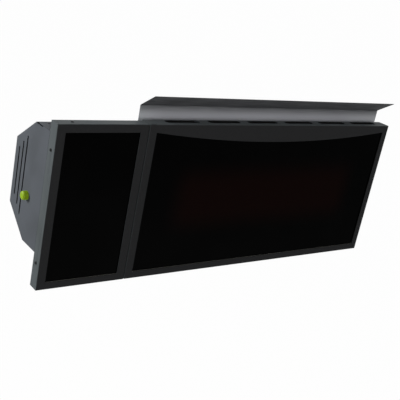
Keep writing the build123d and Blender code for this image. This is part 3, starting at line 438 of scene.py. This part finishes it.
def blackenedSteel(name):
    # Black oxide on a small fastener: dark, oily and a little worn where a driver bears.
    mat = emptyMaterial(name)
    place = addNode(mat, "TexCoord", out="Object")
    wear = addNode(mat, "TexNoise", {"Scale": 1 / (fastenerLook["wear"] * mm), "Detail": 3.0},
                   {"Vector": place})
    share = addNode(mat, "MapRange", {**smooth, **fastenerLook["wearRange"]}, {"Value": wear})
    colour = addNode(mat, "Mix", {**inColour, colourA: fastenerLook["dark"], colourB: fastenerLook["worn"]},
                     {0: share}, mixed)
    roughness = addNode(mat, "MapRange", {**noiseRange, **fastenerLook["roughness"]}, {"Value": wear})
    shader = addNode(mat, "BsdfPrincipled", {"Metallic": fastenerLook["metal"]},
                     {"Base Color": colour, "Roughness": roughness})
    addNode(mat, "OutputMaterial", links={"Surface": shader})
    return mat


plasticLook = {"flow": 8.0, "textureDepth": 0.02, "shine": 0.4, "smoother": 0.05, "rougher": 0.08}


def mouldedPlastic(name, colour, dark, rough, texture=0.8):
    # Injection-moulded plastic: even colour through the piece, a fine spark-eroded texture.
    mat = emptyMaterial(name)
    place = addNode(mat, "TexCoord", out="Object")
    flow = addNode(mat, "TexNoise", {"Scale": 1 / (plasticLook["flow"] * mm), "Detail": 2.0},
                   {"Vector": place})
    share = addNode(mat, "MapRange", noiseRange, {"Value": flow})
    body = addNode(mat, "Mix", {**inColour, colourA: colour, colourB: dark}, {0: share}, mixed)
    roughness = addNode(mat, "MapRange", {**noiseRange, "To Min": rough - plasticLook["smoother"],
                                          "To Max": rough + plasticLook["rougher"]}, {"Value": flow})
    sparks = addNode(mat, "TexNoise", {"Scale": 1 / (texture * mm), "Detail": 1.0}, {"Vector": place})
    dents = addNode(mat, "Bump", {"Distance": plasticLook["textureDepth"] * mm}, {"Height": sparks})
    shader = addNode(mat, "BsdfPrincipled", {"Specular IOR Level": plasticLook["shine"]},
                     {"Base Color": body, "Roughness": roughness, "Normal": dents})
    addNode(mat, "OutputMaterial", links={"Surface": shader})
    return mat


tileLook = {
    "pale": "#d9cfb8",
    # painted shade at the bottom of each pit
    "pit": "#a89a80",
    "pitSize": 2.5,
    "pitRange": {"From Min": 0.1, "From Max": 0.4},
    "pitDepth": 0.3,
    "shine": 0.2,
    "roughness": 0.9,
}


def porousCeramic(name):
    # Pressed and fired ceramic: chalky and warm in tone, with pits that a painted shade darkens.
    mat = emptyMaterial(name)
    place = addNode(mat, "TexCoord", out="Object")
    pits = addNode(mat, "TexVoronoi", {"Scale": 1 / (tileLook["pitSize"] * mm)}, {"Vector": place},
                   "Distance")
    share = addNode(mat, "MapRange", {**smooth, **tileLook["pitRange"]}, {"Value": pits})
    colour = addNode(mat, "Mix", {**inColour, colourA: tileLook["pit"], colourB: tileLook["pale"]},
                     {0: share}, mixed)
    dents = addNode(mat, "Bump", {"Distance": tileLook["pitDepth"] * mm}, {"Height": pits})
    shader = addNode(mat, "BsdfPrincipled", {"Specular IOR Level": tileLook["shine"],
                                             "Roughness": tileLook["roughness"]},
                     {"Base Color": colour, "Normal": dents})
    addNode(mat, "OutputMaterial", links={"Surface": shader})
    return mat


toolMarks = {"size": 1.0, "depth": 0.02, "smoother": 0.08, "rougher": 0.12}


def machinedMetal(name, colour, dark, rough):
    # Turned or cast metal: fine tool marks that spread the highlight.
    mat = emptyMaterial(name)
    place = addNode(mat, "TexCoord", out="Object")
    marks = addNode(mat, "TexNoise", {"Scale": 1 / (toolMarks["size"] * mm), "Detail": 4.0},
                    {"Vector": place})
    share = addNode(mat, "MapRange", noiseRange, {"Value": marks})
    body = addNode(mat, "Mix", {**inColour, colourA: dark, colourB: colour}, {0: share}, mixed)
    roughness = addNode(mat, "MapRange", {**noiseRange, "To Min": rough - toolMarks["smoother"],
                                          "To Max": rough + toolMarks["rougher"]}, {"Value": marks})
    scores = addNode(mat, "Bump", {"Distance": toolMarks["depth"] * mm}, {"Height": marks})
    shader = addNode(mat, "BsdfPrincipled", {"Metallic": 1.0},
                     {"Base Color": body, "Roughness": roughness, "Normal": scores})
    addNode(mat, "OutputMaterial", links={"Surface": shader})
    return mat


sealLook = {
    "pale": "#cfccc2",
    "crossing": "#9d9a90",
    "yarn": 2.0,
    "yarnDepth": 0.3,
    "looseness": 2.0,         # how unevenly the yarn lies
    "shine": 0.1,
    "roughness": 0.95,
}


def wovenFibre(name):
    # Braided ceramic fibre: pale matt yarn, with a shaded line at each crossing.
    mat = emptyMaterial(name)
    place = addNode(mat, "TexCoord", out="Object")
    yarn = addNode(mat, "TexWave", {"Scale": 1 / (sealLook["yarn"] * mm) / math.tau,
                                    "Distortion": sealLook["looseness"]}, {"Vector": place}, "Fac")
    colour = addNode(mat, "Mix", {**inColour, colourA: sealLook["crossing"], colourB: sealLook["pale"]},
                     {0: yarn}, mixed)
    weave = addNode(mat, "Bump", {"Distance": sealLook["yarnDepth"] * mm}, {"Height": yarn})
    shader = addNode(mat, "BsdfPrincipled", {"Specular IOR Level": sealLook["shine"],
                                             "Roughness": sealLook["roughness"]},
                     {"Base Color": colour, "Normal": weave})
    addNode(mat, "OutputMaterial", links={"Surface": shader})
    return mat


# one finish for each material slot of the record
finishes = {
    "anthracite_coat": powderCoatedSteel("powderCoatedSteelAnthracite", coatLook["panel"]),
    "front_coat": powderCoatedSteel("powderCoatedSteelShadedFront", coatLook["flange"], coatLook["front"]),
    "black_glass": tintedGlassCeramic("tintedGlassCeramic"),
    "satin_stainless": rolledSheet("satinStainless", "#eef2f3", metallic=0.3, rough=0.5, hasHeatTintAndShade=True),
    "bright_reflector": rolledSheet("brightRolledAluminium", "#c9cacb", metallic=1.0, rough=0.25),
    "zinc_steel": zincPlatedSteel("zincPlatedSteel"),
    "dark_fastener": blackenedSteel("blackenedSteel"),
    "burner_ceramic": porousCeramic("firedCordierite"),
    "fibre_seal": wovenFibre("braidedCeramicFibre"),
    "cast_aluminium": machinedMetal("castAluminium", "#b4b6b8", "#8f9193", rough=0.42),
    "brass": machinedMetal("machinedBrass", "#c9a25a", "#a5803c", rough=0.28),
    "cap_plastic": mouldedPlastic("mouldedPolyethylene", "#a6ca04", "#99bb02", rough=0.42),
    "black_plastic": mouldedPlastic("mouldedPolyamide", "#1b1b1c", "#151516", rough=0.5),
    "board_laminate": mouldedPlastic("lacqueredLaminate", "#1e5a30", "#184a27", rough=0.25, texture=3.0),
    "silicone": mouldedPlastic("siliconeSleeve", "#a8452f", "#8d3826", rough=0.5),
    "black_rubber": mouldedPlastic("mouldedRubber", "#1a1a1a", "#131313", rough=0.7),
    "alumina": mouldedPlastic("glazedAlumina", "#e6e3da", "#d6d2c6", rough=0.2),
}
bracketCoat = powderCoatedSteel("powderCoatedSteelBracket", coatLook["panel"], hasPaintedInsideShade=False)
nodeFinishes = {"wall_bracket": bracketCoat, "hangers": bracketCoat}
print("materials made:", len(finishes) + 1)


# Edges: the sharp corners of sheet and glass get a small round, in millimetres, so that they catch light

edgeRounds = {
    "control_frame": 0.5, "burner_frame": 0.5, "control_left_panel": 0.35, "burner_right_panel": 0.35,
    "control_casing": 0.35, "deflector": 0.3, "wall_bracket": 0.5, "hangers": 0.5,
    "control_glass": 0.4, "burner_glass": 0.4,
}
edgeLimits = {"mergeWithin": 0.002, "segments": 2, "sharpestKept": 40}   # millimetres, and degrees


def roundEdges(node):
    piece = frame["nodes"][node]
    weld = piece.modifiers.new("weld", "WELD")
    weld.merge_threshold = edgeLimits["mergeWithin"] * mm
    bevel = piece.modifiers.new("roundedEdge", "BEVEL")
    bevel.width = edgeRounds[node] * mm
    bevel.segments = edgeLimits["segments"]
    bevel.limit_method = "ANGLE"
    bevel.angle_limit = math.radians(edgeLimits["sharpestKept"])
    bevel.harden_normals = False


def dressNodes():
    slots = {row["node"]: row["material_slot"] for row in frame["record"]["subparts"]}
    for node, piece in frame["nodes"].items():
        piece.data.materials.clear()
        piece.data.materials.append(nodeFinishes.get(node, finishes[slots[node]]))
        if node in edgeRounds:
            roundEdges(node)


# Raised work on two of the solids: the thread of the gas inlet and the bracket's welds

def tubeAlong(name, points, radii, body, finish, sides):
    # a closed tube through the points, with its own radius at each of them
    mesh = bpy.data.meshes.new(name)
    vertices, faces = [], []
    side = None
    for index, point in enumerate(points):
        ahead = points[min(index + 1, len(points) - 1)]
        behind = points[max(index - 1, 0)]
        run = (ahead - behind).normalized()
        if side is None:
            side = run.orthogonal().normalized()
        side = (side - run * side.dot(run)).normalized()
        other = run.cross(side)
        for turn in range(sides):
            angle = math.tau * turn / sides
            vertices.append(point + (side * math.cos(angle) + other * math.sin(angle)) * radii[index])
    for index in range(len(points) - 1):
        for turn in range(sides):
            first = index * sides + turn
            second = index * sides + (turn + 1) % sides
            faces.append((first, second, second + sides, first + sides))
    faces.append(tuple(reversed(range(sides))))
    faces.append(tuple(range(len(vertices) - sides, len(vertices))))
    mesh.from_pydata(vertices, [], faces)
    mesh.polygons.foreach_set("use_smooth", [True] * len(mesh.polygons))
    mesh.materials.append(finish)
    piece = bpy.data.objects.new(name, mesh)
    bpy.context.scene.collection.objects.link(piece)
    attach(piece, body)


inletThread = {
    "pitch": 1.337,           # 19 turns to the inch
    "radius": 8.2,
    "ridge": 0.26,
    "stepsPerTurn": 28,
    "endShare": 0.3,          # the ridge starts this thin, and grows to its full size in half a turn
    "growth": 1.4,
    "sides": 6,
}


def makeInletThread():
    # a ridge wound around the fitting, from the first turn to the panel
    low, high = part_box("gas_inlet_fitting")
    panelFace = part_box("control_left_panel")[0].x
    centre = (low + high) / 2
    pitch = inletThread["pitch"] * mm
    radius = inletThread["radius"] * mm
    start = low.x + pitch
    steps = int((panelFace - start) / pitch) * inletThread["stepsPerTurn"]
    points, radii = [], []
    for step in range(steps + 1):
        turns = step / inletThread["stepsPerTurn"]
        angle = math.tau * turns
        points.append(Vector((start + pitch * turns, centre.y + radius * math.cos(angle),
                              centre.z + radius * math.sin(angle))))
        fromEnd = min(step, steps - step) / inletThread["stepsPerTurn"]
        share = min(1.0, inletThread["endShare"] + inletThread["growth"] * fromEnd)
        radii.append(inletThread["ridge"] * mm * share)
    tubeAlong("inletThread", points, radii, "heater", finishes["brass"], inletThread["sides"])


bracketWelds = {
    "earRadius": 18.0,        # the bracket's own sizes, which the beads follow
    "earSpan": 342.0,
    "plate": 3.0,
    "bead": 1.5,
    "standOff": 0.5,          # how far a bead's axis stands off the ear and the plate
    "ripple": 0.14,
    "ripplePitch": 2.2,
    "endSetback": 2.0,
    "endShare": 0.35,         # a bead starts this thin, and grows to its full size in a few steps
    "growSteps": 4,
    "steps": 40,
    "sides": 8,
}


def makeBracketWelds():
    # a rippled bead down each side of both ears, where they stand on the wall plate
    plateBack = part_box("wall_bracket")[1].y
    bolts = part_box("pivot_bolts")
    pivotHeight = (bolts[0].z + bolts[1].z) / 2
    beadDepth = plateBack - (bracketWelds["plate"] + bracketWelds["standOff"]) * mm
    reach = (bracketWelds["earRadius"] - bracketWelds["endSetback"]) * mm
    steps = bracketWelds["steps"]
    for side, sideName in ((-1, "Left"), (1, "Right")):
        inner = bracketWelds["earSpan"] / 2 - bracketWelds["standOff"]
        outer = bracketWelds["earSpan"] / 2 + bracketWelds["plate"] + bracketWelds["standOff"]
        for along, faceName in ((inner, "Inner"), (outer, "Outer")):
            points, radii = [], []
            for step in range(steps + 1):
                z = pivotHeight - reach + 2 * reach * step / steps
                points.append(Vector((side * along * mm, beadDepth, z)))
                wave = math.sin(math.tau * (z - pivotHeight) / (bracketWelds["ripplePitch"] * mm))
                fromEnd = min(step, steps - step) / bracketWelds["growSteps"]
                share = min(1.0, bracketWelds["endShare"] + fromEnd)
                radii.append((bracketWelds["bead"] * share + bracketWelds["ripple"] * wave) * mm)
            tubeAlong("earWeld" + sideName + faceName, points, radii, "bracket", bracketCoat,
                      bracketWelds["sides"])


makeCamera()
makeFloor()
makeWorld()
makeLamps()
print("stage, camera and lamps made")
dressNodes()
print("nodes dressed")
makeInletThread()
makeBracketWelds()
print("thread and welds made")
